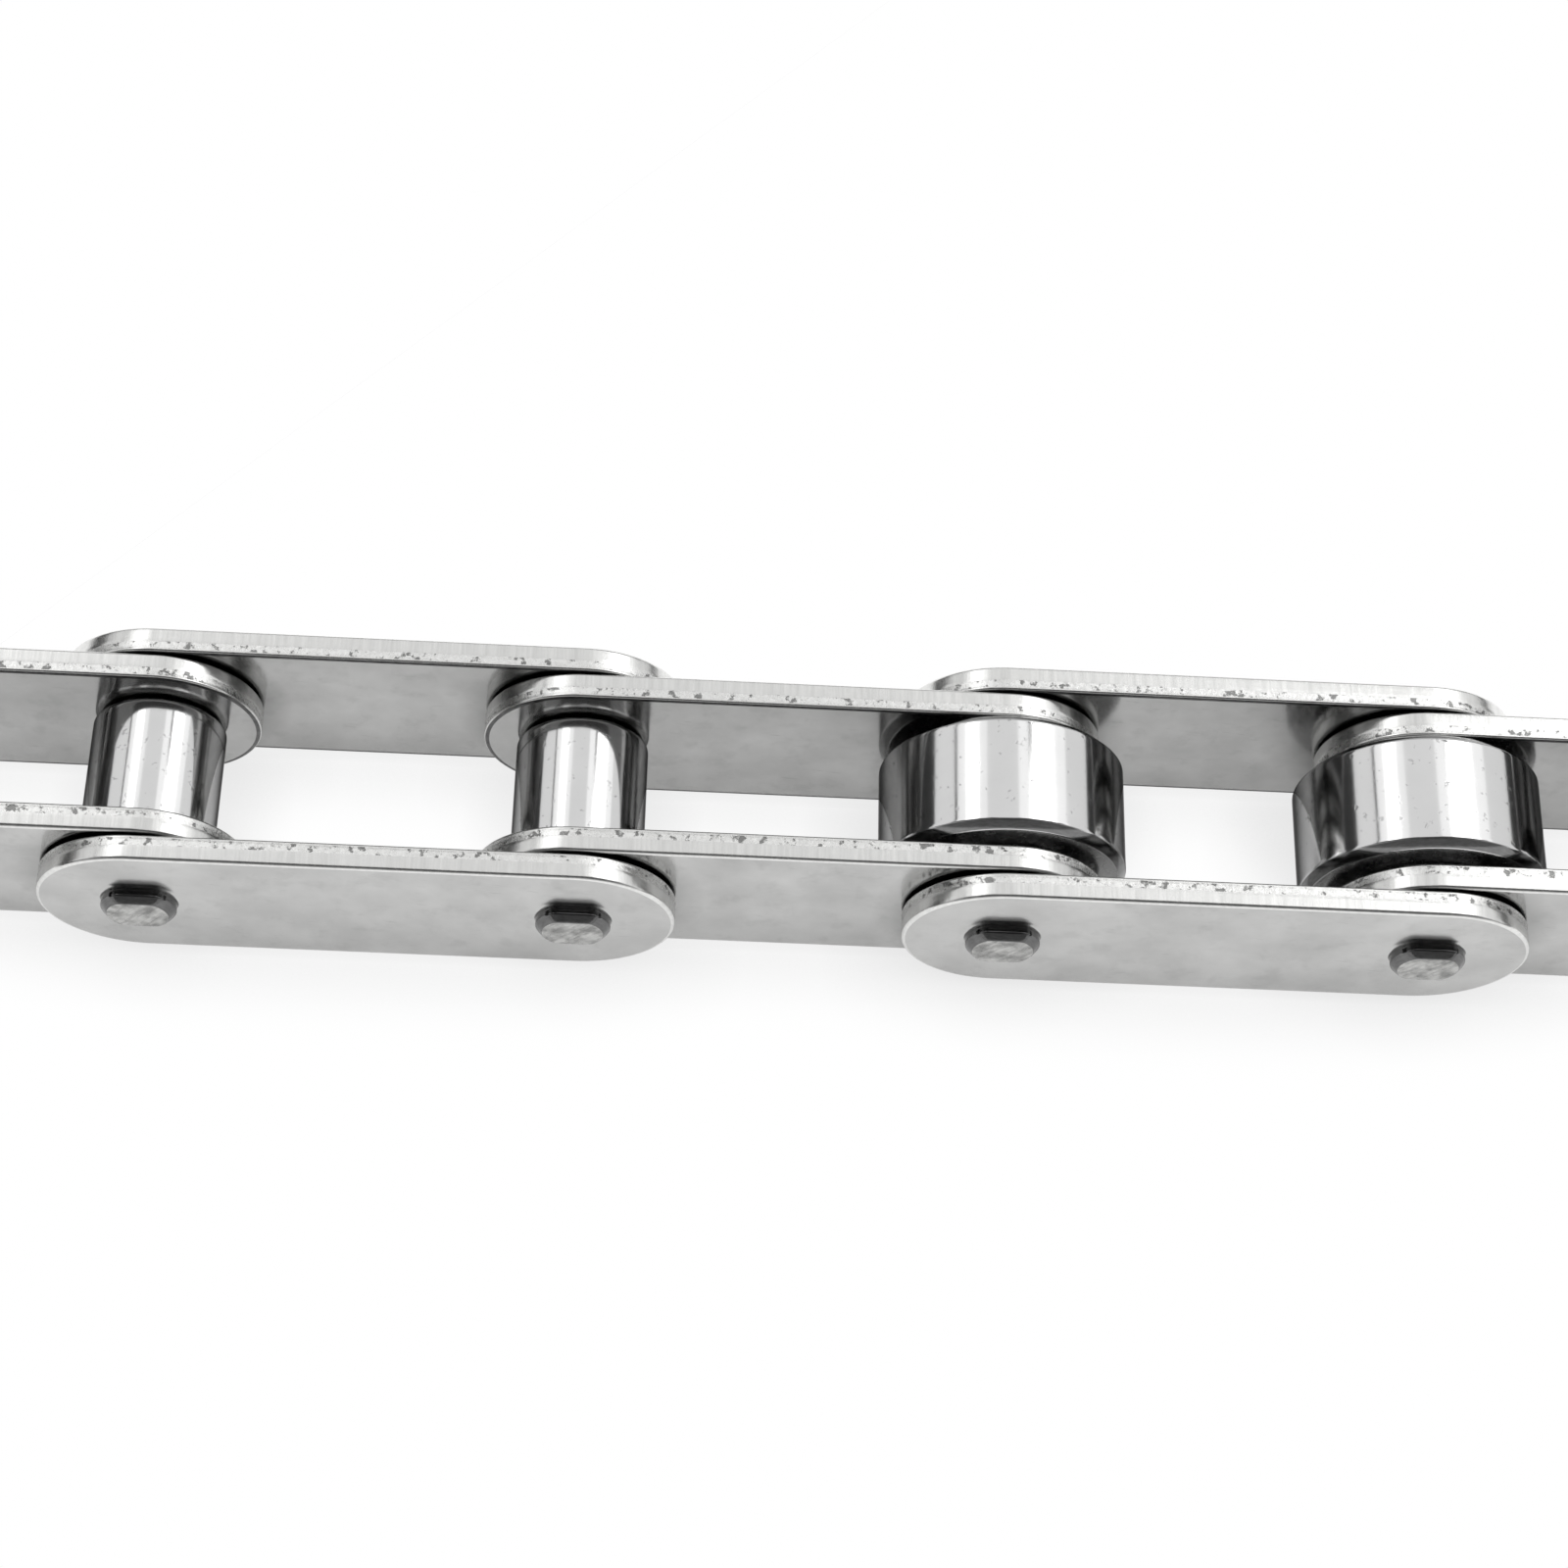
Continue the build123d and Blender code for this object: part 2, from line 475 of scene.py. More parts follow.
def strip_face(look, name, ring_shade):
    """Satin face of cold-rolled strip: cloudy grey, faint grain along the strip, fine scratches. Where
    neighbours turn on it, a ring round each axis is darkened with painted shade."""
    made = Finish(name, look.plate_grey, 0.2)
    clouds = made.noise(160, 4, 0.55)
    grain = made.noise(900, 3, 0.6, (1, 8, 8))
    scratches = made.ramp(made.noise(330, 3, 0.6, (1, 9, 9), 8), [(0.66, 1.0), (0.72, 0.55)])
    stains = made.ramp(made.noise(420, 4, 0.6), [(0.33, 0.72), (0.46, 1.0)])
    tone = made.ramp(clouds, [(0.3, shade(look.plate_grey, 0.86)), (0.7, shade(look.plate_grey, 1.10))])
    tone = made.mix("MULTIPLY", 0.35, tone, scratches)
    tone = made.mix("MULTIPLY", 0.30, tone, stains)
    # Painted shade: a darker ring round each axis, just outside where a neighbour's round end turns on the
    # face.
    if ring_shade:
        stops = [(0.0, look.rubbed_share), (0.35, look.rubbed_share + 0.12), (1.0, 1.0)]
        tone = made.mix("MULTIPLY", 1.0, tone, made.ramp(made.ring_distance(), stops))
    made.colour(tone)
    made.rough(made.span(made.mix("MIX", 0.5, clouds, grain), 0.08, 0.20))
    made.bump(grain, 0.0022 * MM)
    made.bump(made.noise(260, 2, 0.5), 0.010 * MM)
    return made.material


def rolled_face(look):
    """Face of a plate that nothing turns on."""
    return strip_face(look, "rolled_face", False)


def joint_face(look):
    """Face of a plate that its neighbours turn on, with a ring of painted shade round each axis."""
    return strip_face(look, "joint_face", True)


def torn_edge(look):
    """Broken part of a punched edge: bright, pitted and crumbly."""
    made = Finish("torn_edge", look.edge_grey, 0.4)
    grit = made.noise(2600, 5, 0.7)
    pits = made.ramp(made.noise(1100, 4, 0.65), [(0.38, 0.10), (0.44, 1.0)])
    tone = made.ramp(grit, [(0.2, shade(look.edge_grey, 0.8)), (0.6, look.edge_grey)])
    made.colour(made.mix("MULTIPLY", 0.75, tone, pits))
    made.rough(made.span(grit, 0.16, 0.40))
    made.bump(grit, 0.030 * MM)
    made.bump(pits, 0.030 * MM)
    return made.material


def sheared_edge(look):
    """Smooth part of a punched edge: bright, with fine streaks across the thickness."""
    made = Finish("sheared_edge", look.edge_grey, 0.28)
    streaks = made.noise(2400, 4, 0.65, (1, 0.06, 1))
    grit = made.noise(2000, 4, 0.6)
    made.colour(made.ramp(streaks, [(0.3, shade(look.edge_grey, 0.86)), (0.65, look.edge_grey)]))
    made.rough(made.span(grit, 0.14, 0.32))
    made.bump(streaks, 0.006 * MM)
    made.bump(grit, 0.003 * MM)
    return made.material


def painted_burr_shade(look):
    """Painted shade: a dark line along the tumbled inward edge of a plate."""
    made = Finish("painted_burr_shade", look.burr_grey, 0.3)
    grit = made.noise(1200, 3, 0.6)
    made.colour(made.ramp(grit, [(0.3, shade(look.burr_grey, 0.6)), (0.7, shade(look.burr_grey, 1.3))]))
    made.rough(made.span(grit, 0.25, 0.40))
    return made.material


def polished_tread(look):
    """Polished roller: mirror bright, dark where seen edge on, with faint turning lines and pits."""
    made = Finish("polished_tread", look.roller_grey, 0.08)
    wear = made.noise(180, 4, 0.6)
    marks = made.noise(1500, 3, 0.65, (1, 0.10, 1))
    pits = made.ramp(made.noise(1300, 3, 0.6), [(0.31, 0.2), (0.37, 1.0)])
    tone = made.ramp(wear, [(0.3, shade(look.roller_grey, 0.95)), (0.7, look.roller_grey)])
    made.colour(made.mix("MULTIPLY", 0.35, tone, pits))
    made.rough(made.span(wear, 0.07, 0.15))
    made.bump(marks, 0.0012 * MM)
    made.bump(pits, 0.004 * MM)
    # Painted shade: a dark edge tint darkens the polish where it is seen nearly edge on.
    made.shader.inputs["Specular Tint"].default_value = (*look.flank_tint, 1)
    return made.material


def turned_end(look):
    """Turned end or bore of a roller or bush: dull and faintly mottled."""
    made = Finish("turned_end", look.end_grey, 0.25)
    grain = made.noise(900, 4, 0.6)
    made.colour(made.ramp(grain, [(0.3, shade(look.end_grey, 0.85)), (0.7, look.end_grey)]))
    made.rough(made.span(grain, 0.18, 0.34))
    made.bump(grain, 0.004 * MM)
    return made.material


def shaded_chamfer(look):
    """Turned chamfer of a large roller, in painted shade: darker than the tread, with fine tool lines round
    it.
    """
    made = Finish("shaded_chamfer", look.chamfer_grey, 0.12)
    lines = made.noise(1500, 3, 0.6, (1, 5, 1))
    made.colour(made.ramp(lines, [(0.3, shade(look.chamfer_grey, 0.7)), (0.7, look.chamfer_grey)]))
    made.rough(made.span(lines, 0.08, 0.18))
    made.bump(lines, 0.002 * MM)
    return made.material


def shaded_pin_flank(look):
    """Side of a pin and of its riveted head, in painted shade: darker than its end, with faint lines."""
    made = Finish("shaded_pin_flank", look.flank_grey, 0.12)
    lines = made.noise(1600, 3, 0.6, (1, 4, 1))
    made.colour(made.ramp(lines, [(0.3, shade(look.flank_grey, 0.7)), (0.7, look.flank_grey)]))
    made.rough(made.span(lines, 0.08, 0.20))
    made.bump(lines, 0.003 * MM)
    return made.material


def riveted_end(look):
    """Hammered pin end: scratched and dented, darker in its hollows."""
    made = Finish("riveted_end", look.pin_grey, 0.3)
    dents = made.noise(700, 3, 0.6)
    scratches = made.noise(2300, 3, 0.6, (1, 1, 0.14), 38)
    tone = made.ramp(dents, [(0.35, shade(look.pin_grey, 0.50)), (0.62, shade(look.pin_grey, 1.1))])
    streaks = made.ramp(scratches, [(0.36, 0.45), (0.58, 1.0)])
    made.colour(made.mix("MULTIPLY", 0.6, tone, streaks))
    made.rough(made.span(scratches, 0.18, 0.40))
    made.bump(dents, 0.060 * MM)
    made.bump(scratches, 0.040 * MM)
    return made.material


def made_once(look, *makers):
    """The materials of some makers, which name them after themselves, each made at its first use."""
    return [bpy.data.materials.get(maker.__name__) or maker(look) for maker in makers]


def plate_materials(look):
    """A plate's finishes, in the order of ROLLED, TORN, SHEARED, JOINT, BURR_SHADE."""
    return made_once(look, rolled_face, torn_edge, sheared_edge, joint_face, painted_burr_shade)


def turned_materials(look):
    """The finishes of a roller or bush, in the order of TREAD, TURNED, CHAMFERED."""
    return made_once(look, polished_tread, turned_end, shaded_chamfer)


def pin_materials(look):
    """A pin's finishes, in the order of FLANK, RIVETED."""
    return made_once(look, shaded_pin_flank, riveted_end)


# ---------------------------------------------------------------------------------------------
# Sizes and colours that a user would change
# ---------------------------------------------------------------------------------------------

class ChainPlateSizes(bpy.types.PropertyGroup):
    """Edges of the punched link plates."""

    edge_step: FloatProperty(name="Edge Step", description="Distance between points round a plate",
                             default=0.25 * MM, unit="LENGTH", precision=6)
    rim_radius: FloatProperty(name="Rim Radius", description="Rolled-over rim on the outward face",
                              default=0.35 * MM, unit="LENGTH", precision=6)
    burr_radius: FloatProperty(name="Inward Edge", description="Tumbled edge on the inward face",
                               default=0.28 * MM, unit="LENGTH", precision=6)
    torn_share: FloatProperty(name="Torn Share", description="Share of the thickness that tore",
                              default=0.42, min=0.1, max=0.7)
    tear_depth: FloatProperty(name="Tear Depth", description="Roughness of the torn band",
                              default=0.022 * MM, unit="LENGTH", precision=6)
    streak_depth: FloatProperty(name="Streak Depth", description="Depth of the shear streaks",
                                default=0.004 * MM, unit="LENGTH", precision=6)
    waviness: FloatProperty(name="Waviness", description="Slow waves along the punched edge",
                            default=0.012 * MM, unit="LENGTH", precision=6)
    hole_chamfer: FloatProperty(name="Hole Edge", description="Broken edge of the plate's holes",
                                default=0.12 * MM, unit="LENGTH", precision=6)
    support_width: FloatProperty(name="Support Width", description="Flat ring that keeps faces true",
                                 default=0.20 * MM, unit="LENGTH", precision=6)
    lip_height: FloatProperty(name="Lip Height", description="Metal raised round a riveted pin",
                              default=0.05 * MM, unit="LENGTH", precision=6)


class ChainRollerSizes(bpy.types.PropertyGroup):
    """Edges of the rollers and bushes."""

    segments: IntProperty(name="Segments", description="Points round a roller", default=288, min=24)
    play: FloatProperty(name="Roller Play", description="Air between a roller and its bush",
                        default=0.07 * MM, unit="LENGTH", precision=6)
    bush_wall: FloatProperty(name="Bush Wall", description="Thickness of a bush",
                             default=1.12 * MM, unit="LENGTH", precision=6)
    small_edge: FloatProperty(name="Small Roller Edge", description="Rounding of the small roller",
                              default=0.80 * MM, unit="LENGTH", precision=6)
    large_chamfer: FloatProperty(name="Large Roller Chamfer", description="Chamfer of the large roller",
                                 default=0.75 * MM, unit="LENGTH", precision=6)
    large_ease: FloatProperty(name="Large Roller Ease", description="Rounding of the chamfer's edges",
                              default=0.12 * MM, unit="LENGTH", precision=6)
    hub_radius: FloatProperty(name="Hub Radius", description="Hub of the large roller",
                              default=7.00 * MM, unit="LENGTH", precision=6)
    rim_setback: FloatProperty(name="Rim Setback", description="How far the rim stands in from the hub",
                               default=0.60 * MM, unit="LENGTH", precision=6)
    bore_chamfer: FloatProperty(name="Bore Chamfer", description="Chamfer of the bores",
                                default=0.28 * MM, unit="LENGTH", precision=6)


class ChainPinSizes(bpy.types.PropertyGroup):
    """Riveted ends of the pins."""

    segments: IntProperty(name="Segments", description="Points round a pin", default=160, min=24)
    flat_depth: FloatProperty(name="Flat Depth", description="Depth of a pin's two flats",
                              default=0.50 * MM, unit="LENGTH", precision=6)
    head_flank: FloatProperty(name="Head Flank", description="Straight part of the riveted head",
                              default=0.62 * MM, unit="LENGTH", precision=6)
    head_ease: FloatProperty(name="Head Edge", description="Rounding of the head's edges",
                             default=0.16 * MM, unit="LENGTH", precision=6)
    cone_inset: FloatProperty(name="Cone Inset", description="How far the head narrows toward its end",
                              default=0.58 * MM, unit="LENGTH", precision=6)
    dome: FloatProperty(name="Dome", description="Rounding of the pin's end face",
                        default=0.05 * MM, unit="LENGTH", precision=6)


class ChainLooks(bpy.types.PropertyGroup):
    """Greys of the stainless steel, and of the shade painted on it."""

    plate_grey: FloatVectorProperty(name="Plate", description="Rolled faces", subtype="COLOR",
                                    default=(0.45, 0.45, 0.445), min=0, max=1)
    edge_grey: FloatVectorProperty(name="Edge", description="Punched edges", subtype="COLOR",
                                   default=(0.66, 0.66, 0.65), min=0, max=1)
    roller_grey: FloatVectorProperty(name="Roller", description="Polished rollers", subtype="COLOR",
                                     default=(0.64, 0.64, 0.64), min=0, max=1)
    end_grey: FloatVectorProperty(name="Ends", description="Turned ends", subtype="COLOR",
                                  default=(0.50, 0.50, 0.50), min=0, max=1)
    # Edge tint of the polish, a painted shade that darkens the rollers seen nearly edge on.
    flank_tint: FloatVectorProperty(name="Roller Flanks", description="Polish seen nearly edge on",
                                    subtype="COLOR", default=(0.10, 0.10, 0.10), min=0, max=1)
    # Grey of the painted shade on the large rollers' chamfers.
    chamfer_grey: FloatVectorProperty(name="Roller Chamfers", description="Chamfers of the large rollers",
                                      subtype="COLOR", default=(0.24, 0.24, 0.24), min=0, max=1)
    # Grey of the painted shade on the pins' sides and the flanks of their heads.
    flank_grey: FloatVectorProperty(name="Pin Sides", description="Hardened sides of the pins",
                                    subtype="COLOR", default=(0.14, 0.14, 0.14), min=0, max=1)
    pin_grey: FloatVectorProperty(name="Pins", description="Riveted pin ends", subtype="COLOR",
                                  default=(0.42, 0.42, 0.41), min=0, max=1)
    # Grey of the painted shade line along the plates' tumbled inward edges.
    burr_grey: FloatVectorProperty(name="Burr", description="Dull line where the burr was rubbed off",
                                   subtype="COLOR", default=(0.12, 0.12, 0.12), min=0, max=1)
    # Brightness left in the ring of painted shade where neighbours turn on a plate.
    rubbed_share: FloatProperty(name="Rubbed Ring", description="Brightness left where plates rub",
                                default=0.70, min=0, max=1)


class ChainStageSizes(bpy.types.PropertyGroup):
    """Camera, floor, cards and lamps."""

    elevation: FloatProperty(name="Elevation", description="Camera above the horizon",
                             default=math.radians(63), subtype="ANGLE")
    azimuth: FloatProperty(name="Azimuth", description="Camera to the left of the strand's middle",
                           default=math.radians(5), subtype="ANGLE")
    roll: FloatProperty(name="Roll", description="Camera turned about its own axis",
                        default=math.radians(6.98), subtype="ANGLE")
    distance: FloatProperty(name="Distance", description="Camera to the aim point",
                            default=280 * MM, unit="LENGTH")
    lens: FloatProperty(name="Lens", description="Focal length in millimetres", default=72.65)
    aim_along: FloatProperty(name="Aim Along", description="Aim point along the strand",
                             default=94.29 * MM, unit="LENGTH", precision=5)
    aim_height: FloatProperty(name="Aim Height", description="Aim point above the pins",
                              default=6.15 * MM, unit="LENGTH", precision=5)
    floor_size: FloatProperty(name="Floor", description="Width of the floor", default=60.0, unit="LENGTH")
    floor_grey: FloatVectorProperty(name="Floor Colour", description="Pale floor", subtype="COLOR",
                                    default=(0.90, 0.90, 0.90), min=0, max=1)
    world_strength: FloatProperty(name="Room Light", description="Light from all round", default=0.72)
    lamp_strength: FloatProperty(name="Lamp Brightness", description="Brightness of a soft box",
                                 default=1.6)
    floor_glow: FloatProperty(name="Floor Whiteness", description="White added to the floor in reflections",
                              default=0.46)
    glow_gap: FloatProperty(name="Whiteness Gap", default=5 * MM, unit="LENGTH", precision=5,
                            description="How near a piece dims the floor's added white")
    shade_reach: FloatProperty(name="Shade Reach", description="How near a piece shades the floor",
                               default=10 * MM, unit="LENGTH", precision=5)
    shade_depth: FloatProperty(name="Shade Depth", default=0.35, min=0, max=1,
                               description="How much of the floor's white the shade covers")
    shade_grey: FloatVectorProperty(name="Shade Colour", description="Grey of the shade on the floor",
                                    subtype="COLOR", default=(0.35, 0.35, 0.35), min=0, max=1)
    card_grey: FloatVectorProperty(name="Card Colour", description="Dark cards round the set",
                                   subtype="COLOR", default=(0.05, 0.05, 0.05), min=0, max=1)
    screen_grey: FloatVectorProperty(name="Screen Colour", description="Screen above the front card",
                                     subtype="COLOR", default=(0.12, 0.12, 0.12), min=0, max=1)
    low_grey: FloatVectorProperty(name="Low Card Colour", subtype="COLOR",
                                  description="Grey cards low before and behind the set",
                                  default=(0.42, 0.42, 0.42), min=0, max=1)


# ---------------------------------------------------------------------------------------------
# Operators, one for each group of like pieces
# ---------------------------------------------------------------------------------------------

class CHAIN_OT_inner_plates(bpy.types.Operator):
    """Makes the six inner plates, with round holes for the bushes"""

    bl_idname = "chain.inner_plates"
    bl_label = "Inner Plates"

    def execute(self, context):
        sizes = context.scene.chain_plates
        materials = plate_materials(context.scene.chain_looks)
        hole_segments, first_seed = 96, 100

        def hole(x, y, grow):
            return round_ring(x, y, bush_radius + grow, hole_segments)

        for seed, node in enumerate(nodes_of("inner_plate"), first_seed):
            plate_shell(node, sizes, seed, hole, 0).piece(node, materials, PLATE_CREASE)
        return {"FINISHED"}


class CHAIN_OT_outer_plates(bpy.types.Operator):
    """Makes the four outer plates, with double-D holes and a raised lip round each pin"""

    bl_idname = "chain.outer_plates"
    bl_label = "Outer Plates"

    def execute(self, context):
        sizes = context.scene.chain_plates
        pins = context.scene.chain_pins
        materials = plate_materials(context.scene.chain_looks)
        half_flat = pin_radius - pins.flat_depth
        first_seed = 200

        def hole(x, y, grow):
            return double_d_ring(x, y, pin_radius + grow, half_flat + grow, pins.segments)

        for seed, node in enumerate(nodes_of("outer_plate"), first_seed):
            plate_shell(node, sizes, seed, hole, sizes.lip_height).piece(node, materials, PLATE_CREASE)
        return {"FINISHED"}


class CHAIN_OT_bushes(bpy.types.Operator):
    """Makes the six bushes that join the inner plates"""

    bl_idname = "chain.bushes"
    bl_label = "Bushes"

    def execute(self, context):
        sizes = context.scene.chain_rollers
        materials = turned_materials(context.scene.chain_looks)
        bore = bush_radius - sizes.bush_wall
        end = bush_high.y
        chamfer = sizes.bore_chamfer
        ease, ease_steps, support, segments = 0.10 * MM, 3, 0.2 * MM, 160
        half = [(end - ease - support, bush_radius, TREAD)]
        half += [(end - drop, bush_radius - inset, TURNED) for inset, drop in quarter(ease, ease_steps)]
        half += [(end, bore + chamfer, TURNED), (end - chamfer, bore, TURNED)]
        for node in nodes_of("bush"):
            lathe(node, mirrored(half), segments).piece(node, materials, TURNED_CREASE)
        return {"FINISHED"}


class CHAIN_OT_small_rollers(bpy.types.Operator):
    """Makes the three small rollers, with rounded edges"""

    bl_idname = "chain.small_rollers"
    bl_label = "Small Rollers"

    def execute(self, context):
        sizes = context.scene.chain_rollers
        materials = turned_materials(context.scene.chain_looks)
        radius = small_high.z
        end = small_high.y
        bore = bush_radius + sizes.play
        edge = sizes.small_edge
        chamfer = sizes.bore_chamfer
        edge_steps, support, end_support = 10, 0.3 * MM, 0.1 * MM
        half = [(end - edge - support, radius, TREAD)]
        half += [(end - drop, radius - inset, TREAD) for inset, drop in quarter(edge, edge_steps)]
        half += [(end, radius - edge - end_support, TURNED), (end, bore + chamfer, TURNED),
                 (end - chamfer, bore, TURNED)]
        for node in nodes_of("small_roller"):
            lathe(node, mirrored(half), sizes.segments).piece(node, materials, TURNED_CREASE)
        return {"FINISHED"}


class CHAIN_OT_large_rollers(bpy.types.Operator):
    """Makes the three large rollers, with a chamfered rim and a hub at each end"""

    bl_idname = "chain.large_rollers"
    bl_label = "Large Rollers"

    def execute(self, context):
        sizes = context.scene.chain_rollers
        materials = turned_materials(context.scene.chain_looks)
        radius, end = large_high.z, large_high.y
        rim = end - sizes.rim_setback
        bore = bush_radius + sizes.play
        cut = sizes.large_chamfer
        ease = sizes.large_ease
        chamfer = sizes.bore_chamfer
        hub = sizes.hub_radius
        support, hub_ease = 0.2 * MM, 0.1 * MM
        foot, foot_top = 0.25 * MM, 0.05 * MM       # fillet between the rim's end and the hub
        tread = [(rim - cut - ease - support, radius), (rim - cut - ease, radius),
                 (rim - cut - ease * 0.3, radius - ease * 0.1)]
        half = [(y, reach, TREAD) for y, reach in tread]
        half += [(rim - cut + ease * 0.4, radius - ease * 0.5, CHAMFERED),
                 (rim - ease * 0.5, radius - cut + ease * 0.4, TREAD)]
        rim_end = [(rim - ease * 0.1, radius - cut - ease * 0.3), (rim, radius - cut - ease),
                   (rim, radius - cut - ease - support), (rim, hub + foot)]
        hub_end = [(rim + hub_ease, hub + foot_top), (end - hub_ease, hub), (end, hub - hub_ease),
                   (end, bore + chamfer), (end - chamfer, bore)]
        half += [(y, reach, TURNED) for y, reach in rim_end + hub_end]
        for node in nodes_of("large_roller"):
            lathe(node, mirrored(half), sizes.segments).piece(node, materials, TURNED_CREASE)
        return {"FINISHED"}


class CHAIN_OT_pins(bpy.types.Operator):
    """Makes the four pins, with double-D ends and riveted heads"""

    bl_idname = "chain.pins"
    bl_label = "Pins"

    def execute(self, context):
        sizes = context.scene.chain_pins
        materials = pin_materials(context.scene.chain_looks)
        shoulder, seat, end = outer_low.y, outer_high.y, pin_high.y
        half_flat = pin_radius - sizes.flat_depth
        head_radius = pin_radius + head_spread
        head_flat = half_flat + head_spread
        ease = sizes.head_ease
        cone = sizes.cone_inset
        flank = seat + sizes.head_flank
        rim = end - sizes.dome

        # Sections from the shoulder to the pin's end: (place along Y, radius, half width over the flats)
        sections = [(shoulder, pin_radius, pin_radius), (shoulder, pin_radius, half_flat),
                    (seat, pin_radius, half_flat), (seat, head_radius, head_flat),
                    (flank - ease, head_radius, head_flat)]
        # Rounded edge of the head, in shares of its ease
        for inset, drop in ((0.06, 0.55), (0.22, 0.2)):
            sections.append((flank - ease * drop, head_radius - ease * inset, head_flat - ease * inset))
        # Cone of the head, in shares of the way to the rim of the end
        cone_start = ease * 0.3
        for share in (0.10, 0.5, 0.90):
            inset = cone_start + (cone - cone_start) * share
            sections.append((flank + (rim - flank) * share, head_radius - inset, head_flat - inset))
        # Domed end, in shares of its radius
        for share in (0.985, 0.95, 0.85, 0.7, 0.5, 0.3, 0.12):
            y = end - sizes.dome * share ** 4
            sections.append((y, (head_radius - cone) * share, (head_flat - cone) * share))

        rows = [(-y, radius, flat) for y, radius, flat in reversed(sections)] + sections
        # All but the domed end carry the flank's painted shade.
        finishes = [RIVETED if min(abs(here[0]), abs(ahead[0])) > rim else FLANK
                    for here, ahead in zip(rows, rows[1:])]
        for node in nodes_of("pin"):
            x = centre_of(node)
            shell = Shell()
            rings = [shell.ring(double_d_ring(x, *row, sizes.segments)) for row in rows]
            shell.bands(rings, finishes)
            shell.close(rings[0], (x, -end, 0), RIVETED)
            shell.close(rings[-1], (x, end, 0), RIVETED)
            shell.piece(node, materials, PIN_CREASE)
        return {"FINISHED"}


class CHAIN_OT_stage(bpy.types.Operator):
    """Makes the pale floor, the cards, the room light, the soft lamps and the camera"""

    bl_idname = "chain.stage"
    bl_label = "Stage"

    def execute(self, context):
        sizes = context.scene.chain_stage
        make_floor(sizes)
        make_cards(sizes)
        make_world(context.scene, sizes)
        make_lamps(sizes)
        make_camera(context.scene, sizes)
        return {"FINISHED"}


def matt_material(name, grey, roughness):
    """Matt surface of one grey, for the floor and the cards."""
    material = bpy.data.materials.new(name)
    material.use_nodes = True
    shader = material.node_tree.nodes["Principled BSDF"]
    shader.inputs["Base Color"].default_value = (*grey, 1)
    shader.inputs["Roughness"].default_value = roughness
    shader.inputs["Specular IOR Level"].default_value = 0.0
    return material


def make_floor(sizes):
    """Plain pale floor under the lowest point of the strand."""
    reach = sizes.floor_size / 2
    z = cad_low.z
    mesh = bpy.data.meshes.new("floor")
    corners = [(-reach, -reach, z), (reach, -reach, z), (reach, reach, z), (-reach, reach, z)]
    mesh.from_pydata(corners, [], [(0, 1, 2, 3)])
    floor = bpy.data.objects.new("floor", mesh)
    bpy.context.scene.collection.objects.link(floor)
    material = matt_material("pale_floor", sizes.floor_grey, 0.9)
    whiten_floor(material.node_tree, sizes)
    show_shade_alone(material.node_tree, sizes)
    mesh.materials.append(material)


def by_ray(tree, lighting, showing):
    """A strength with one value for rays that light the set, and another for rays that show it."""
    rays = tree.nodes.new("ShaderNodeLightPath")
    total = rays.outputs["Is Camera Ray"]
    for kind in ("Is Glossy Ray", "Is Transmission Ray"):
        either = tree.nodes.new("ShaderNodeMath")
        either.operation = "MAXIMUM"
        tree.links.new(total, either.inputs[0])
        tree.links.new(rays.outputs[kind], either.inputs[1])
        total = either.outputs[0]
    strength = tree.nodes.new("ShaderNodeMapRange")
    strength.inputs["To Min"].default_value = lighting
    strength.inputs["To Max"].default_value = showing
    tree.links.new(total, strength.inputs["Value"])
    return strength.outputs["Result"]


def whiten_floor(tree, sizes):
    """Adds white to the floor as reflections see it, but not in the narrow shade under the strand."""
    shader = tree.nodes["Principled BSDF"]
    shader.inputs["Emission Color"].default_value = (1, 1, 1, 1)
    near = tree.nodes.new("ShaderNodeAmbientOcclusion")
    near.inputs["Distance"].default_value = sizes.glow_gap
    dimmed = tree.nodes.new("ShaderNodeMath")
    dimmed.operation = "MULTIPLY"
    tree.links.new(by_ray(tree, 0.0, sizes.floor_glow), dimmed.inputs[0])
    tree.links.new(near.outputs["AO"], dimmed.inputs[1])
    tree.links.new(dimmed.outputs[0], shader.inputs["Emission Strength"])


def show_shade_alone(tree, sizes):
    """Lets the camera see only the floor's shade, so that a link folded down past the floor shows."""
    open_floor, deepest_shade = 0.95, 0.20      # how open the floor's surroundings are, out of 1
    near = tree.nodes.new("ShaderNodeAmbientOcclusion")
    near.samples = 16
    near.inputs["Distance"].default_value = sizes.shade_reach
    depth = tree.nodes.new("ShaderNodeMapRange")
    depth.interpolation_type = "SMOOTHSTEP"
    depth.inputs["From Min"].default_value = open_floor
    depth.inputs["From Max"].default_value = deepest_shade
    depth.inputs["To Max"].default_value = sizes.shade_depth
    tree.links.new(near.outputs["AO"], depth.inputs["Value"])
    clear = tree.nodes.new("ShaderNodeBsdfTransparent")
    grey = tree.nodes.new("ShaderNodeEmission")
    grey.inputs["Color"].default_value = (*sizes.shade_grey, 1)
    seen = tree.nodes.new("ShaderNodeMixShader")
    tree.links.new(depth.outputs["Result"], seen.inputs["Fac"])
    tree.links.new(clear.outputs["BSDF"], seen.inputs[1])
    tree.links.new(grey.outputs["Emission"], seen.inputs[2])
    rays = tree.nodes.new("ShaderNodeLightPath")
    surface = tree.nodes.new("ShaderNodeMixShader")
    tree.links.new(rays.outputs["Is Camera Ray"], surface.inputs["Fac"])
    tree.links.new(tree.nodes["Principled BSDF"].outputs["BSDF"], surface.inputs[1])
    tree.links.new(seen.outputs["Shader"], surface.inputs[2])
    tree.links.new(surface.outputs["Shader"], tree.nodes["Material Output"].inputs["Surface"])


